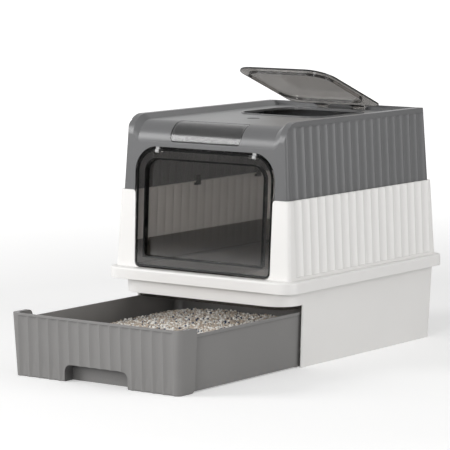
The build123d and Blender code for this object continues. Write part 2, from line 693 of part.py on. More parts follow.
def make_hood():
    """Grey hood: fluted sides, three rails round a sunk deck, hatch, window seat and flap opening."""
    low, high = hood_sections()
    coves_low = MID_TOP + SEAT_GAP
    body = hood_form(0.0, 0.0) - side_coves(low, high, coves_low, HOOD_TOP - HOOD_PLAIN, 0.0)
    body -= deck_form(0.0)
    room = hood_form(HOOD_WALL, PAST)
    room -= side_coves(low, high, coves_low, HOOD_TOP - HOOD_PLAIN, HOOD_WALL)
    body -= room - deck_form(DECK_THICK)
    hatch = (HATCH_HALF_X, HATCH_FRONT, HATCH_BACK, HATCH_CORNER, 0.0)
    body += slab(shrunk(hatch, -COLLAR_WIDTH), DECK_Z - DECK_THICK, DECK_Z + COLLAR_RISE)
    body -= slab(hatch, DECK_Z - PAST, DECK_Z + PAST)
    seat = HOOD_ROLL - WINDOW_THICK - SEAT_GAP
    body -= window_prism(SEAT_GAP, 0.0) & roll_ring(HOOD_ROLL + PAST, seat)
    body -= window_prism(0.0, WINDOW_LIP)
    body -= Pos(0, PLUG_Y, DECK_Z) * Cylinder(PLUG_RADIUS + SEAT_GAP, 2 * PLUG_SUNK)
    half = FLAP_HALF_HIGH + HOOD_SIDE_GAP
    top = FLAP_PIVOT_Z + FLAP_ABOVE_PIVOT + HOOD_TOP_GAP
    corner = FLAP_HIGH_CORNER + HOOD_SIDE_GAP
    opening = handle_face(half, top, corner, HOOD_LOW - PAST)
    return body - extrude(Plane.XZ.offset(-MID_CORNER - GUARD_FRONT) * opening, amount=HOOD_HALF_Y / 2)


def make_front_window():
    """Smoked curved window that lies flush in the roll-over."""
    shell = roll_ring(HOOD_ROLL - SEAT_GAP, HOOD_ROLL - SEAT_GAP - WINDOW_THICK + 0.1)
    return shell & window_prism(0.0, 0.0)


def make_deck_plug():
    """Dark round plug in the deck with a dished top."""
    height = PLUG_SUNK - 0.1
    plug = Pos(0, PLUG_Y, DECK_Z - height / 2 - 0.05) * Cylinder(PLUG_RADIUS, height)
    return plug - Pos(0, PLUG_Y, DECK_Z) * Cylinder(PLUG_RADIUS - PLUG_RIM, 2 * PLUG_DISH)


def lid_pose():
    """Turn about the hinge from closed to the angle at which the lid stands."""
    return Pos(0, HINGE_Y, HINGE_Z) * Rot(-LID_OPEN, 0, 0) * Pos(0, -HINGE_Y, -HINGE_Z)


def make_top_lid():
    """Smoked lid: plate, ring that drops into the hatch, rear leaf and two knuckles."""
    under = (LID_HALF_X, LID_FRONT, LID_BACK, LID_CORNER, LID_LOW)
    over = (LID_HALF_X, LID_FRONT, LID_BACK, LID_CORNER, LID_LOW + LID_THICK)
    body = tub(under, over, LID_REAR_CORNER)
    hatch = (HATCH_HALF_X, HATCH_FRONT, HATCH_BACK, HATCH_CORNER, 0.0)
    outer = shrunk(hatch, SPIGOT_GAP)
    ring = slab(outer, LID_LOW - SPIGOT_DEPTH, LID_LOW + 1.0)
    ring -= slab(shrunk(outer, SPIGOT_WIDTH), LID_LOW - SPIGOT_DEPTH - 1.0, LID_LOW)
    body += ring
    for side in (-1, 1):
        x0, x1 = sorted((side * KNUCKLE_IN, side * KNUCKLE_OUT))
        body += block(x0, x1, LID_BACK - 1.0, HINGE_Y, LID_LOW, LID_LOW + LID_THICK)
        body += rod_x(KNUCKLE_RADIUS, x0, x1, HINGE_Y, HINGE_Z)
        body -= rod_x(ROD_RADIUS + RUN_GAP, x0 - 1, x1 + 1, HINGE_Y, HINGE_Z)
    return lid_pose() * body


def make_hinge_bracket():
    """Dark bracket on the deck that holds the lid's rod between the knuckles."""
    half = KNUCKLE_IN - KNUCKLE_GAP
    body = rod_x(KNUCKLE_RADIUS, -half, half, HINGE_Y, HINGE_Z)
    deep = KNUCKLE_RADIUS
    body += block(-half, half, HINGE_Y - deep, HINGE_Y + deep, DECK_Z, HINGE_Z)
    body += block(-half, half, HINGE_Y - 2 * deep, HINGE_Y + deep, DECK_Z, DECK_Z + RIM_PLATE)
    return body - rod_x(ROD_RADIUS + RUN_GAP / 5, -half - 1, half + 1, HINGE_Y, HINGE_Z)


def make_hinge_rod():
    """Steel rod through bracket and knuckles."""
    end = KNUCKLE_OUT + ROD_END
    return rod_x(ROD_RADIUS, -end, end, HINGE_Y, HINGE_Z)


def make_hood_clips():
    """Dark hooks inside the hood that catch under the ledge of the middle frame."""
    low, high = hood_sections()
    ledge_x = low[0] - HOOD_WALL - LEDGE_IN
    stem_out = ledge_x - SEAT_GAP
    stem_in = stem_out - CLIP_STEM
    pad_out = between(low, high, HOOD_LOW + CLIP_HIGH)[0] - HOOD_WALL - SIDE_COVE_DEPTH - SEAT_GAP / 2
    nose_top = LEDGE_LOW - SEAT_GAP
    nose_low = nose_top - CLIP_NOSE_HEIGHT
    clips = []
    for cove in CLIP_COVES:
        y0 = cove * SIDE_PITCH - CLIP_LENGTH / 2
        y1 = y0 + CLIP_LENGTH
        clip = block(stem_in, stem_out, y0, y1, nose_low, HOOD_LOW + CLIP_HIGH)
        clip += block(stem_in, pad_out, y0, y1, HOOD_LOW + SEAT_GAP, HOOD_LOW + CLIP_HIGH)
        clip += block(stem_in, stem_out + CLIP_NOSE, y0, y1, nose_low, nose_top)
        clips.append(clip)
        clips.append(mirror(clip, about=Plane.YZ))
    return clips


def save(name, pieces):
    """Write one piece, or a group of separate pieces, under its own name."""
    group = pieces if isinstance(pieces, list) else [pieces]
    solids = [solid for piece in group for solid in piece.solids()]
    shape = solids[0] if len(solids) == 1 else Compound(children=solids)
    shape.label = name
    export_step(shape, f"parts/{name}.step")


save("base_housing", make_base_housing())
save("drawer_tray", make_drawer_tray())
save("litter_fill", make_litter_fill())
save("splash_guard", make_splash_guard())
save("mid_frame", make_mid_frame())
save("hood", make_hood())
save("hood_clips", make_hood_clips())
save("front_window", make_front_window())
save("deck_plug", make_deck_plug())
save("entry_flap", make_entry_flap())
save("flap_hinge_pins", make_flap_pins())
save("flap_hinge_lugs", make_flap_lugs())
save("top_lid", make_top_lid())
save("lid_hinge_bracket", make_hinge_bracket())
save("lid_hinge_rod", make_hinge_rod())
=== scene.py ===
"""Looks of an enclosed litter box with a pull-out drawer, an entry flap and a top lid.

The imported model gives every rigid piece. This script dresses those pieces, lays loose
granules in the drawer, and sets up the studio. Lengths are in metres.
"""

import logging
import math
import random
from dataclasses import dataclass, field
from enum import Enum

import bpy
from mathutils import Euler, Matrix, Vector


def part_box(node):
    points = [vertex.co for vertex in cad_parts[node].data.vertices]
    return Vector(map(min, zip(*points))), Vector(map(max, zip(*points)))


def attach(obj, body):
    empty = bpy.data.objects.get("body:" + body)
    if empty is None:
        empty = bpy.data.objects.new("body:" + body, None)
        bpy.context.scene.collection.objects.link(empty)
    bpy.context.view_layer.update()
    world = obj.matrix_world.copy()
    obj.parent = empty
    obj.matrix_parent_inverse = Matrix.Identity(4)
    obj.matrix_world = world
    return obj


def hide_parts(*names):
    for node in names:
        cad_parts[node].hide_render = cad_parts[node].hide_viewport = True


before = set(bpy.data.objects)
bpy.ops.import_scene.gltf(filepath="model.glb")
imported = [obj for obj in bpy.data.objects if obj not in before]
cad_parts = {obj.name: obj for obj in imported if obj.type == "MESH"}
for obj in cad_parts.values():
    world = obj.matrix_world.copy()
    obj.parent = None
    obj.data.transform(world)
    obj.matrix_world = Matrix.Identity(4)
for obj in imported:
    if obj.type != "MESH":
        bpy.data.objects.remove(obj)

Tree = bpy.types.NodeTree
Socket = bpy.types.NodeSocket
Colour = tuple[float, float, float]
Pellet = tuple[Vector, float, tuple[float, float, float]]   # place, size and turn

LOG = logging.getLogger("litter_box")
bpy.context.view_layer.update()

PICTURE_SIDE = 450            # pixels, both ways
FOCAL_PIXELS = 2704.17        # focal length of the fitted camera, in pixels
SENSOR_WIDTH = 36.0           # millimetres
CAMERA_PLACE = (2.84769, -4.06488, 0.82220)
CAMERA_AZIMUTH = 36.15        # degrees, round from the front
CAMERA_DROP = 6.89            # degrees below level
CAMERA_LEVEL = 90.0           # degrees from straight down to level
CAMERA_REACH = 200.0          # how far the camera sees

WHITE = (1.0, 1.0, 1.0, 1.0)
EDGE_SAMPLES = 6              # rays that soften a sharp edge
HOLLOW_SHADE_SAMPLES = 8            # rays that find a hollow for its painted shade


class Body(Enum):
    """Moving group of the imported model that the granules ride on."""

    DRAWER = "drawer"


class Slot(Enum):
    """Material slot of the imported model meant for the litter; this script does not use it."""

    LITTER = "litter"


def deselect_all() -> None:
    """Clear the selection, which loading the model leaves full."""
    bpy.ops.object.select_all(action="DESELECT")
    bpy.context.view_layer.objects.active = None


def link(tree: Tree, source: Socket, target: Socket) -> None:
    """Join two sockets of a node tree."""
    tree.links.new(source, target)


def object_coordinates(tree: Tree) -> Socket:
    """Add the object's own coordinates to a tree.

    Args:
        tree: the node tree of a material.

    Returns:
        The coordinate socket, in metres in the model's frame.
    """
    return tree.nodes.new("ShaderNodeTexCoord").outputs["Object"]


def noise(tree: Tree, place: Socket, scale: float, detail: float) -> Socket:
    """Add a noise pattern.

    Args:
        tree: the node tree.
        place: coordinates that it reads.
        scale: number of grains in a metre.
        detail: octaves of the noise.

    Returns:
        The pattern, from 0 to 1.
    """
    node = tree.nodes.new("ShaderNodeTexNoise")
    node.inputs["Scale"].default_value = scale
    node.inputs["Detail"].default_value = detail
    link(tree, place, node.inputs["Vector"])
    return node.outputs["Fac"]


def neighbours(colour: Colour, spread: float) -> tuple[Colour, Colour]:
    """Work out a darker and a lighter colour.

    Args:
        colour: the colour between them.
        spread: how far both lie from it, as a share.

    Returns:
        The darker and the lighter colour.
    """
    return tuple(c * (1 - spread) for c in colour), tuple(min(c * (1 + spread), 1.0) for c in colour)


def wander(tree: Tree, pattern: Socket, colours: tuple[Colour, Colour], margin: float = 0.3) -> Socket:
    """Let a surface wander between two colours.

    Args:
        tree: the node tree.
        pattern: value from 0 to 1 that chooses the colour.
        colours: the colours of low and of high values.
        margin: share of the values at either end that has one plain colour.

    Returns:
        The colour socket.
    """
    node = tree.nodes.new("ShaderNodeValToRGB")
    link(tree, pattern, node.inputs["Fac"])
    for point, place, colour in zip(node.color_ramp.elements, (margin, 1 - margin), colours):
        point.position = place
        point.color = (*colour, 1.0)
    return node.outputs["Color"]


def spread_over(
    tree: Tree, value: Socket, low: float, high: float, reach: tuple[float, float] = (0.0, 1.0)
) -> Socket:
    """Turn one range of values into another.

    Args:
        tree: the node tree.
        value: the value to turn.
        low: result at the start of the reach.
        high: result at its end.
        reach: the values that are turned.

    Returns:
        The result.
    """
    node = tree.nodes.new("ShaderNodeMapRange")
    node.inputs["From Min"].default_value, node.inputs["From Max"].default_value = reach
    node.inputs["To Min"].default_value, node.inputs["To Max"].default_value = low, high
    link(tree, value, node.inputs["Value"])
    return node.outputs["Result"]


def bump(tree: Tree, height: Socket, strength: float, depth: float, edge: float = 0.0) -> Socket:
    """Add a bump, on softened edges where an edge radius is given.

    Args:
        tree: the node tree.
        height: the height pattern.
        strength: share of the bump that shows.
        depth: real depth in metres.
        edge: radius that the light sees on sharp edges, in metres.

    Returns:
        The normal socket.
    """
    node = tree.nodes.new("ShaderNodeBump")
    node.inputs["Strength"].default_value = strength
    node.inputs["Distance"].default_value = depth
    link(tree, height, node.inputs["Height"])
    if edge > 0.0:
        soft = tree.nodes.new("ShaderNodeBevel")
        soft.samples = EDGE_SAMPLES
        soft.inputs["Radius"].default_value = edge
        link(tree, soft.outputs["Normal"], node.inputs["Normal"])
    return node.outputs["Normal"]


def arithmetic(tree: Tree, operation: str, first: Socket, second: Socket | float) -> Socket:
    """Work out one step with two values.

    Args:
        tree: the node tree.
        operation: Blender's name of the step.
        first: a value.
        second: another value, or a plain number.

    Returns:
        The result.
    """
    node = tree.nodes.new("ShaderNodeMath")
    node.operation = operation
    link(tree, first, node.inputs[0])
    if isinstance(second, float):
        node.inputs[1].default_value = second
    else:
        link(tree, second, node.inputs[1])
    return node.outputs["Value"]


def new_material(name: str) -> tuple[bpy.types.Material, Tree, bpy.types.Node]:
    """Start a material with one principled shader.

    Args:
        name: the finish's name.

    Returns:
        The material, its node tree and its shader.
    """
    material = bpy.data.materials.new(name)
    material.use_nodes = True
    tree = material.node_tree
    return material, tree, tree.nodes["Principled BSDF"]


@dataclass(frozen=True)
class MouldedPlastic:
    """Injection-moulded plastic with a fine spark-eroded grain, faint handling marks and, where set, painted
    shade in its own hollows.
    """

    name: str
    colour: Colour
    spread: float = 0.04          # how far the colour wanders over the surface
    roughness: float = 0.42
    roughness_spread: float = 0.06
    grain_scale: float = 1400.0   # grains in a metre
    grain_depth: float = 0.00002
    cloud_scale: float = 6.0      # slow colour drift, in waves a metre
    marks_to_cloud: float = 8.0   # handling marks in one wave of the drift
    edge: float = 0.0009          # radius of the moulded edges
    hollow_shade_reach: float = 0.0           # reach of the painted shade that darkens the piece's own hollows
    index: float = 1.48           # of refraction

    def paint_hollow_shade(self, tree: Tree, colour: Socket) -> Socket:
        """Paint shade into a colour: darken it in the piece's own hollows, where less light reaches.

        Args:
            tree: the node tree.
            colour: the plain colour.

        Returns:
            The colour with the painted shade.
        """
        shade = tree.nodes.new("ShaderNodeAmbientOcclusion")
        shade.samples = HOLLOW_SHADE_SAMPLES
        shade.only_local = True
        shade.inputs["Distance"].default_value = self.hollow_shade_reach
        link(tree, colour, shade.inputs["Color"])
        return shade.outputs["Color"]

    def build(self) -> bpy.types.Material:
        """Make the material.

        Returns:
            The finished material.
        """
        material, tree, shader = new_material(self.name)
        place = object_coordinates(tree)
        cloud = noise(tree, place, self.cloud_scale, detail=3.0)
        colour = wander(tree, cloud, neighbours(self.colour, self.spread))
        # painted shade: the colour darkens in the piece's own hollows
        if self.hollow_shade_reach > 0.0:
            colour = self.paint_hollow_shade(tree, colour)
        link(tree, colour, shader.inputs["Base Color"])
        marks = noise(tree, place, self.cloud_scale * self.marks_to_cloud, detail=4.0)
        smooth, rough = self.roughness - self.roughness_spread, self.roughness + self.roughness_spread
        link(tree, spread_over(tree, marks, smooth, rough), shader.inputs["Roughness"])
        grain = noise(tree, place, self.grain_scale, detail=2.0)
        normal = bump(tree, grain, strength=0.35, depth=self.grain_depth, edge=self.edge)
        link(tree, normal, shader.inputs["Normal"])
        shader.inputs["IOR"].default_value = self.index
        return material


@dataclass(frozen=True)
class RimShadeLines:
    """Painted shade: dark lines painted where light fades as one looks along a clear wall; they follow a
    rounded outline on a leaning plane.
    """

    centre: tuple[float, float]              # Y and Z of the outline's middle
    lean: float                              # of the plane from upright, in degrees
    half: tuple[float, float]                # half width and half height of the outline
    corners: tuple[float, float]             # radii of the lower and the upper corners
    bands: tuple[tuple[float, float], ...]   # where each line starts and ends inside the outline

    def depth(self, tree: Tree, place: Socket) -> Socket:
        """Find how far a point lies inside the outline.

        Args:
            tree: the node tree.
            place: object coordinates.

        Returns:
            The distance to the outline, in metres; outside it is negative.
        """
        turn = tree.nodes.new("ShaderNodeVectorRotate")
        turn.rotation_type = "X_AXIS"
        turn.inputs["Center"].default_value = (0.0, *self.centre)
        turn.inputs["Angle"].default_value = math.radians(self.lean)
        link(tree, place, turn.inputs["Vector"])
        split = tree.nodes.new("ShaderNodeSeparateXYZ")
        link(tree, turn.outputs["Vector"], split.inputs["Vector"])
        over = arithmetic(tree, "SUBTRACT", split.outputs["Z"], self.centre[1])
        upper = arithmetic(tree, "GREATER_THAN", over, 0.0)
        radius = arithmetic(tree, "MULTIPLY", upper, self.corners[1] - self.corners[0])
        radius = arithmetic(tree, "ADD", radius, self.corners[0])
        sides, squares = [], []
        for value, half in zip((split.outputs["X"], over), self.half):
            past = arithmetic(tree, "SUBTRACT", arithmetic(tree, "ABSOLUTE", value, 0.0), half)
            side = arithmetic(tree, "ADD", past, radius)
            outside = arithmetic(tree, "MAXIMUM", side, 0.0)
            sides.append(side)
            squares.append(arithmetic(tree, "MULTIPLY", outside, outside))
        round_part = arithmetic(tree, "SQRT", arithmetic(tree, "ADD", *squares), 0.0)
        flat_part = arithmetic(tree, "MINIMUM", arithmetic(tree, "MAXIMUM", *sides), 0.0)
        return arithmetic(tree, "SUBTRACT", radius, arithmetic(tree, "ADD", round_part, flat_part))

    def mask(self, tree: Tree, place: Socket) -> Socket:
        """Mark the lines of painted shade.

        Args:
            tree: the node tree.
            place: object coordinates.

        Returns:
            One on the lines and nought between them.
        """
        depth = self.depth(tree, place)
        marked = None
        for start, end in self.bands:
            past_start = arithmetic(tree, "GREATER_THAN", depth, start)
            before_end = arithmetic(tree, "LESS_THAN", depth, end)
            band = arithmetic(tree, "MULTIPLY", past_start, before_end)
            marked = band if marked is None else arithmetic(tree, "MAXIMUM", marked, band)
        return marked


@dataclass(frozen=True)
class SmokedPlastic:
    """Clear smoked plastic: it lets a share of the light through and mirrors the studio; dark lines of
    painted shade can lie at its edges.
    """

    name: str
    tint: Colour
    roughness: float = 0.045
    index: float = 1.46           # of refraction
    cloud: float = 0.96           # tint of the darker clouds, as a share
    cloud_scale: float = 9.0      # clouds in a metre
    wave_scale: float = 26.0      # slow waves of the surface in a metre
    wave_depth: float = 0.0003
    lines: tuple[RimShadeLines, ...] = ()
    # painted shade: colour of the dark lines at the edges
    rim_shade_colour: Colour = (0.012, 0.012, 0.012)

    def paint_rim_shade(self, tree: Tree, place: Socket, colour: Socket) -> Socket:
        """Paint the dark lines of shade over a colour.

        Args:
            tree: the node tree.
            place: object coordinates.
            colour: the colour between the lines.

        Returns:
            The colour with the lines.
        """
        for outline in self.lines:
            mix = tree.nodes.new("ShaderNodeMix")
            mix.data_type = "RGBA"
            # the painted shade lines go over the tint
            link(tree, outline.mask(tree, place), mix.inputs["Factor"])
            link(tree, colour, mix.inputs["A"])
            mix.inputs["B"].default_value = (*self.rim_shade_colour, 1.0)
            colour = mix.outputs["Result"]
        return colour

    def build(self) -> bpy.types.Material:
        """Make the material.

        Returns:
            The finished material.
        """
        material, tree, shader = new_material(self.name)
        place = object_coordinates(tree)
        clouds = noise(tree, place, self.cloud_scale, detail=2.0)
        colour = wander(tree, clouds, (tuple(c * self.cloud for c in self.tint), self.tint))
        # painted shade lines at the edges go into the colour
        link(tree, self.paint_rim_shade(tree, place, colour), shader.inputs["Base Color"])
        shader.inputs["Roughness"].default_value = self.roughness
        shader.inputs["IOR"].default_value = self.index
        shader.inputs["Transmission Weight"].default_value = 1.0
        wave = noise(tree, place, self.wave_scale, detail=1.0)
        link(tree, bump(tree, wave, strength=0.12, depth=self.wave_depth), shader.inputs["Normal"])
        return material


@dataclass(frozen=True)
class DrawnSteel:
    """Bright steel bar with fine lines along X."""

    name: str
    colour: Colour = (0.62, 0.62, 0.61)
    roughness: float = 0.28
    line: float = 0.8             # colour of the darker lines, as a share
    line_scale: float = 4000.0    # lines in a metre
    stretch: float = 0.02         # how much slower the pattern runs along X

    def build(self) -> bpy.types.Material:
        """Make the material.

        Returns:
            The finished material.
        """
        material, tree, shader = new_material(self.name)
        along = tree.nodes.new("ShaderNodeMapping")
        along.inputs["Scale"].default_value = (self.stretch, 1.0, 1.0)
        link(tree, object_coordinates(tree), along.inputs["Vector"])
        lines = noise(tree, along.outputs["Vector"], self.line_scale, detail=2.0)
        dark = tuple(c * self.line for c in self.colour)
        colour = wander(tree, lines, (dark, self.colour), margin=0.35)
        link(tree, colour, shader.inputs["Base Color"])
        shader.inputs["Metallic"].default_value = 1.0
        shader.inputs["Roughness"].default_value = self.roughness
        return material


@dataclass(frozen=True)
class Granule:
    """Matt mineral granule in one of the mix's colours, each a little different."""

    name: str
    colour: Colour
    spread: float = 0.22
    roughness: float = 0.85
    patch_scale: float = 160.0    # patches of colour in a metre
    grain_scale: float = 2500.0   # grains in a metre
    grain_depth: float = 0.0001

    def build(self) -> bpy.types.Material:
        """Make the material.

        Returns:
            The finished material.
        """
        material, tree, shader = new_material(self.name)
        place = object_coordinates(tree)
        patches = noise(tree, place, self.patch_scale, detail=2.0)
        colour = wander(tree, patches, neighbours(self.colour, self.spread), margin=0.35)
        link(tree, colour, shader.inputs["Base Color"])
        shader.inputs["Roughness"].default_value = self.roughness
        grain = noise(tree, place, self.grain_scale, detail=2.0)
        link(tree, bump(tree, grain, strength=0.5, depth=self.grain_depth), shader.inputs["Normal"])
        return material


WHITE_SHELL = MouldedPlastic("white_moulding", (0.83, 0.82, 0.805), spread=0.012, roughness=0.38)
HOOD_GREY = MouldedPlastic(
    "hood_grey_moulding", (0.119, 0.12, 0.123), roughness=0.32, roughness_spread=0.02, grain_depth=0.000008
)
# The drawer's colour carries painted shade, darker inside the tray and in the hand pocket.
DRAWER_GREY = MouldedPlastic("drawer_grey_moulding", (0.206, 0.202, 0.198), hollow_shade_reach=0.1)
DARK_FITTING = MouldedPlastic("dark_fitting", (0.022, 0.022, 0.022), roughness=0.4, cloud_scale=30.0)
LIGHT_FITTING = MouldedPlastic("light_fitting", (0.42, 0.42, 0.42), roughness=0.4, cloud_scale=30.0)
STEEL = DrawnSteel("hinge_steel")

# Painted shade: dark lines at the flap's edge and at the wall of its sunk panel, at the lid's edge and at the
# ring under it, and at the window's edge, where light fades along a clear wall. A band that starts below
# nought covers the edge itself.
FLAP_SHADE_LINES = RimShadeLines(
    centre=(-0.23371, 0.26860), lean=2.84, half=(0.1492, 0.10673), corners=(0.010, 0.043),
    bands=((-0.01, 0.0032), (0.0164, 0.0196)),
)
LID_LEAN = 111.1              # degrees from upright, as the lid stands open
LID_EDGE_SHADE_LINES = RimShadeLines(
    centre=(0.09383, 0.47359), lean=LID_LEAN, half=(0.103, 0.10625), corners=(0.042, 0.020),
    bands=((-0.01, 0.0018),),
)
LID_RING_SHADE_LINES = RimShadeLines(
    centre=(0.088, 0.47584), lean=LID_LEAN, half=(0.092, 0.0835), corners=(0.037, 0.037),
    bands=((0.0, 0.0022),),
)
WINDOW_SHADE_LINES = RimShadeLines(
    centre=(-0.21026, 0.4075), lean=44.62, half=(0.078, 0.0253), corners=(0.008, 0.008),
    bands=((-0.01, 0.0016),),
)
FLAP_SMOKE = SmokedPlastic("flap_smoke", (0.97, 0.94, 0.91), lines=(FLAP_SHADE_LINES,))
LID_SMOKE = SmokedPlastic(
    "lid_smoke", (0.74, 0.71, 0.68), roughness=0.09, lines=(LID_EDGE_SHADE_LINES, LID_RING_SHADE_LINES)
)
GUARD_SMOKE = SmokedPlastic("guard_smoke", (0.50, 0.47, 0.44), roughness=0.12)
WINDOW_SMOKE = SmokedPlastic("window_smoke", (0.55, 0.55, 0.55), roughness=0.19, lines=(WINDOW_SHADE_LINES,))


def dress(node: str, material: bpy.types.Material) -> None:
    """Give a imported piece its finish, on its own object.

    Args:
        node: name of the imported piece.
        material: the finish.
    """
    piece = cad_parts[node]
    if not piece.material_slots:
        piece.data.materials.append(None)
    for place in piece.material_slots:
        place.link = "OBJECT"
        place.material = material
    LOG.info("%s wears %s", node, material.name)


@dataclass
class Housing:
    """White tiers: the base that the drawer runs in and the fluted middle frame."""

    nodes: tuple[str, ...] = ("base_housing", "mid_frame")
    finish: MouldedPlastic = WHITE_SHELL

    def build(self) -> None:
        """Dress the white tiers and the guard between them."""
        white = self.finish.build()
        for node in self.nodes:
            dress(node, white)
        dress("splash_guard", GUARD_SMOKE.build())


@dataclass
class Drawer:
    """Grey drawer with its fluted front and painted shade in its hollows."""

    finish: MouldedPlastic = DRAWER_GREY

    def build(self) -> None:
        """Dress the drawer."""
        dress("drawer_tray", self.finish.build())


@dataclass
class Hood:
    """Grey top with its window, plug, clips and the flap's lugs."""

    finish: MouldedPlastic = HOOD_GREY
    dark_nodes: tuple[str, ...] = ("hood_clips", "deck_plug", "lid_hinge_bracket")

    def build(self) -> None:
        """Dress the hood and all that is fixed to it."""
        dress("hood", self.finish.build())
        dress("front_window", WINDOW_SMOKE.build())
        dark = DARK_FITTING.build()
        for node in self.dark_nodes:
            dress(node, dark)
        dress("flap_hinge_lugs", LIGHT_FITTING.build())


@dataclass
class EntryFlap:
    """Smoked swinging flap and its pins."""

    finish: SmokedPlastic = FLAP_SMOKE

    def build(self) -> None:
        """Dress the flap and its pins."""
        dress("entry_flap", self.finish.build())
        dress("flap_hinge_pins", DARK_FITTING.build())


@dataclass
class TopLid:
    """Smoked lid over the hatch, and the rod that it turns on."""

    finish: SmokedPlastic = LID_SMOKE

    def build(self) -> None:
        """Dress the lid and its rod."""
        dress("top_lid", self.finish.build())
        dress("lid_hinge_rod", STEEL.build())


@dataclass
class LitterBed:
    """Loose granules: a rough bed with thousands of small pellets lying on it."""

    pitch: float = 0.0046         # spacing of the pellets
    jitter: float = 0.3           # how far a pellet lies off its row, in pitches
    radius: float = 0.0026        # mean pellet radius
    smallest: float = 0.72        # smallest pellet, in mean radii
    largest: float = 1.18         # largest pellet, in mean radii
    sunk: float = -0.0016         # lowest pellet, from the surface
    proud: float = 0.0012         # highest pellet, from the surface
    pellet_shape: tuple[float, float, float] = (1.25, 0.92, 0.84)   # half sizes, in radii
    bed_drop: float = 0.0022      # bed under the pellets' centres
    bed_pitch: float = 0.012      # spacing of the bed's own cells
    bed_taper: float = 0.0032     # how far the bed's sides lean in at its foot
    wall_gap: float = 0.0012      # pellets keep clear of the tray walls
    crown: float = 0.009          # how much higher the middle is
    heap_waves: float = 0.0013    # unevenness of the surface
    settle: float = 0.6           # lowers the surface, in heights of its waves
    swell: tuple[float, float] = (31.0, 27.0)         # waves across and along, in radians a metre
    swell_start: tuple[float, float] = (1.3, 0.4)     # where they start, in radians
    ripple: tuple[float, float] = (73.0, -58.0)       # shorter waves that run aslant
    ripple_share: float = 0.6     # height of the shorter waves beside the others
    seed: int = 41
    shares: tuple[float, ...] = (0.46, 0.46, 0.08)    # of the mix's colours
    finishes: tuple[Granule, ...] = field(
        default_factory=lambda: (
            Granule("granule_tan", (0.54, 0.46, 0.38)),
            Granule("granule_white", (0.84, 0.82, 0.78), spread=0.1),
            Granule("granule_dark", (0.06, 0.075, 0.12)),
        )
    )

    def level(self, x: float, y: float, low: Vector, high: Vector) -> float:
        """Height of the litter's surface.

        Args:
            x: place across.
            y: place along.
            low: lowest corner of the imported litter.
            high: its highest corner.

        Returns:
            The height in metres.
        """
        across = (x - (low.x + high.x) / 2) / ((high.x - low.x) / 2)
        wave = math.prod(
            math.sin(rate * place + start) for rate, place, start in zip(self.swell, (x, y), self.swell_start)
        )
        wave += self.ripple_share * math.sin(self.ripple[0] * x + self.ripple[1] * y)
        return high.z - self.radius - self.crown * across * across + self.heap_waves * (wave - self.settle)

    def bed(self, low: Vector, high: Vector) -> bpy.types.Object:
        """Model the litter under the pellets as one closed block with a crowned top.

        Args:
            low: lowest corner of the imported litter.
            high: its highest corner.

        Returns:
            The bed.
        """
        deselect_all()
        bpy.ops.mesh.primitive_cube_add(size=1.0, location=(low + high) / 2)
        piece = bpy.context.active_object
        piece.name = "litter_bed"
        gap = Vector((self.wall_gap, self.wall_gap, self.wall_gap))
        piece.scale = high - low - 2 * gap
        bpy.ops.object.transform_apply(location=True, rotation=True, scale=True)
        bpy.ops.object.mode_set(mode="EDIT")
        bpy.ops.mesh.select_all(action="SELECT")
        bpy.ops.mesh.subdivide(number_cuts=round((high.y - low.y) / self.bed_pitch))
        bpy.ops.object.mode_set(mode="OBJECT")
        floor, roof = low.z + self.wall_gap, high.z - self.wall_gap
        for vertex in piece.data.vertices:
            share = (vertex.co.z - floor) / (roof - floor)
            top = self.level(vertex.co.x, vertex.co.y, low, high) - self.bed_drop
            vertex.co.z = floor + share * (top - floor)
            vertex.co.x -= math.copysign(self.bed_taper * (1 - share), vertex.co.x)
        return piece

    def scatter(self, low: Vector, high: Vector) -> list[list[Pellet]]:
        """Choose place, size and turn of every pellet, sorted into the mix's colours.

        Args:
            low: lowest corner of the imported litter.
            high: its highest corner.

        Returns:
            One list for each colour.
        """
        rng = random.Random(self.seed)
        groups: list[list[Pellet]] = [[] for _ in self.shares]
        edge = self.wall_gap + self.radius
        rows = int((high.y - low.y - 2 * edge) / self.pitch)
        columns = int((high.x - low.x - 2 * edge) / self.pitch)
        for row in range(rows + 1):
            for column in range(columns + 1):
                x = low.x + edge + column * self.pitch + rng.uniform(-self.jitter, self.jitter) * self.pitch
                y = low.y + edge + row * self.pitch + rng.uniform(-self.jitter, self.jitter) * self.pitch
                x = min(max(x, low.x + edge), high.x - edge)
                y = min(max(y, low.y + edge), high.y - edge)
                z = self.level(x, y, low, high) + rng.uniform(self.sunk, self.proud)
                size = self.radius * rng.uniform(self.smallest, self.largest)
                turn = tuple(rng.uniform(0, math.tau) for _ in range(3))
                group = rng.choices(range(len(self.shares)), self.shares)[0]
                groups[group].append((Vector((x, y, z)), size, turn))
        return groups

    def pellets(self, name: str, places: list[Pellet]) -> bpy.types.Object:
        """Model one pellet and copy it to every place of one colour.

        Args:
            name: name of the piece.
            places: place, size and turn of each pellet.

        Returns:
            All the pellets of one colour, as one piece.
        """
        deselect_all()
        bpy.ops.mesh.primitive_ico_sphere_add(subdivisions=1, radius=1.0)
        piece = bpy.context.active_object
        piece.name = name
        bpy.ops.object.mode_set(mode="EDIT")
        bpy.ops.mesh.select_all(action="SELECT")
        bpy.ops.transform.resize(value=self.pellet_shape)
        bpy.ops.object.mode_set(mode="OBJECT")
        corners = [vertex.co.copy() for vertex in piece.data.vertices]
        triangles = [tuple(face.vertices) for face in piece.data.polygons]
        vertices, faces = [], []
        for centre, size, turn in places:
            matrix = Euler(turn).to_matrix()
            start = len(vertices)
            vertices += [matrix @ corner * size + centre for corner in corners]
            faces += [tuple(start + index for index in triangle) for triangle in triangles]
        mesh = bpy.data.meshes.new(name)
        mesh.from_pydata(vertices, [], faces)
        old = piece.data
        piece.data = mesh
        bpy.data.meshes.remove(old)
        return piece

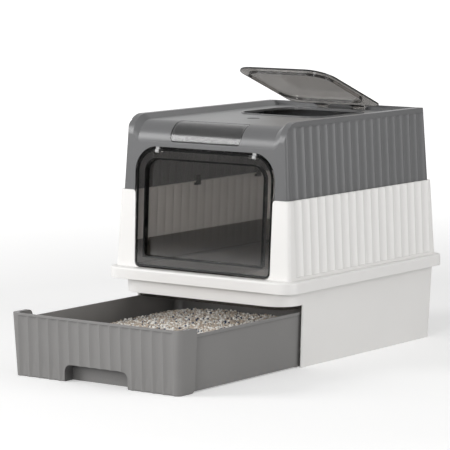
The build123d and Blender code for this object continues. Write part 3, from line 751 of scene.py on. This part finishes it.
    def build(self) -> None:
        """Lay the bed and the pellets in the drawer."""
        low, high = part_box("litter_fill")
        bed = self.bed(low, high)
        bed.data.materials.append(self.finishes[0].build())
        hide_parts("litter_fill")
        pieces = [bed]
        for finish, places in zip(self.finishes, self.scatter(low, high)):
            piece = self.pellets(f"litter_{finish.name}", places)
            piece.data.materials.append(finish.build())
            pieces.append(piece)
            LOG.info("%s: %d pellets", piece.name, len(places))
        for piece in pieces:
            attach(piece, Body.DRAWER.value)


@dataclass(frozen=True)
class Lamp:
    """Square softbox that faces the object."""

    name: str
    place: tuple[float, float, float]
    size: float                   # length of a side
    power: float                  # watts
    aim: tuple[float, float, float] = (0.0, -0.1, 0.25)   # the object's middle

    def hang(self) -> None:
        """Hang the softbox."""
        data = bpy.data.lights.new(self.name, "AREA")
        data.size = self.size
        data.energy = self.power
        lamp = bpy.data.objects.new(self.name, data)
        lamp.location = self.place
        ray = Vector(self.aim) - Vector(self.place)
        lamp.rotation_euler = ray.to_track_quat("-Z", "Y").to_euler()
        bpy.context.scene.collection.objects.link(lamp)


@dataclass
class Studio:
    """Camera, pale floor, white background and soft lamps."""

    floor_side: float = 60.0
    floor_colour: Colour = (0.86, 0.86, 0.86)
    floor_roughness: float = 0.9
    floor_glow: float = 0.3       # lifts the floor round the object towards white
    far_glow: float = 0.8         # lifts the floor that no lamp reaches
    glow_reach: tuple[float, float] = (0.9, 3.2)   # metres over which one turns into the other
    sky: Colour = (1.0, 0.995, 0.985)
    ambient: float = 0.34         # strength of the sky
    lamps: tuple[Lamp, ...] = (
        Lamp("key", (-2.5, -2.7, 1.5), 1.6, 72.0),
        Lamp("graze", (0.9, -3.7, 1.0), 0.8, 42.0),
        Lamp("top", (0.2, -0.4, 3.0), 2.2, 4.0),
        Lamp("fill", (3.0, 0.6, 0.9), 1.6, 28.0),
    )

    def camera(self) -> None:
        """Place the camera of the photograph."""
        data = bpy.data.cameras.new("photo_camera")
        data.sensor_width = SENSOR_WIDTH
        data.lens = FOCAL_PIXELS / PICTURE_SIDE * SENSOR_WIDTH
        data.clip_end = CAMERA_REACH
        camera = bpy.data.objects.new("photo_camera", data)
        camera.location = CAMERA_PLACE
        camera.rotation_euler = (math.radians(CAMERA_LEVEL - CAMERA_DROP), 0.0, math.radians(CAMERA_AZIMUTH))
        bpy.context.scene.collection.objects.link(camera)
        bpy.context.scene.camera = camera

    def white_to_camera(self, tree: Tree, rest: Socket, out: Socket) -> None:
        """Show plain white to camera, mirrored and glass rays, and the given shader to the rest.

        Args:
            tree: node tree of the world.
            rest: shader that lights the object.
            out: surface socket of the output.
        """
        path = tree.nodes.new("ShaderNodeLightPath")
        seen = path.outputs["Is Camera Ray"]
        for ray in ("Is Transmission Ray", "Is Glossy Ray"):
            seen = arithmetic(tree, "MAXIMUM", seen, path.outputs[ray])
        white = tree.nodes.new("ShaderNodeBackground")
        white.inputs["Color"].default_value = WHITE
        mix = tree.nodes.new("ShaderNodeMixShader")
        link(tree, seen, mix.inputs["Fac"])
        link(tree, rest, mix.inputs[1])
        link(tree, white.outputs["Background"], mix.inputs[2])
        link(tree, mix.outputs["Shader"], out)

    def world(self) -> None:
        """Light the object evenly from a pale sky that the camera sees as white."""
        world = bpy.data.worlds.new("studio")
        world.use_nodes = True
        bpy.context.scene.world = world
        tree = world.node_tree
        sky = tree.nodes["Background"]
        sky.inputs["Color"].default_value = (*self.sky, 1.0)
        sky.inputs["Strength"].default_value = self.ambient
        self.white_to_camera(tree, sky.outputs["Background"], tree.nodes["World Output"].inputs["Surface"])

    def floor(self) -> None:
        """Lay a pale floor that keeps the object's shadow and glows for the camera alone."""
        deselect_all()
        bpy.ops.mesh.primitive_plane_add(size=self.floor_side, location=(0.0, 0.0, 0.0))
        floor = bpy.context.active_object
        floor.name = "studio_floor"
        material, tree, shader = new_material("studio_floor")
        shader.inputs["Base Color"].default_value = (*self.floor_colour, 1.0)
        shader.inputs["Roughness"].default_value = self.floor_roughness
        shader.inputs["Emission Color"].default_value = WHITE
        distance = tree.nodes.new("ShaderNodeVectorMath")
        distance.operation = "LENGTH"
        link(tree, object_coordinates(tree), distance.inputs[0])
        glow = spread_over(tree, distance.outputs["Value"], self.floor_glow, self.far_glow, self.glow_reach)
        path = tree.nodes.new("ShaderNodeLightPath")
        seen_glow = arithmetic(tree, "MULTIPLY", path.outputs["Is Camera Ray"], glow)
        link(tree, seen_glow, shader.inputs["Emission Strength"])
        floor.data.materials.append(material)

    def build(self) -> None:
        """Set up the whole studio."""
        bpy.context.scene.view_settings.view_transform = "Standard"
        self.camera()
        self.world()
        self.floor()
        for lamp in self.lamps:
            lamp.hang()


def main() -> None:
    """Build the studio and dress every part of the litter box."""
    logging.basicConfig(level=logging.INFO, format="%(message)s")
    for part in (Studio(), Housing(), Drawer(), Hood(), EntryFlap(), TopLid(), LitterBed()):
        part.build()
        LOG.info("%s is done", type(part).__name__)
    bpy.context.view_layer.update()


if __name__ == "__main__":
    main()
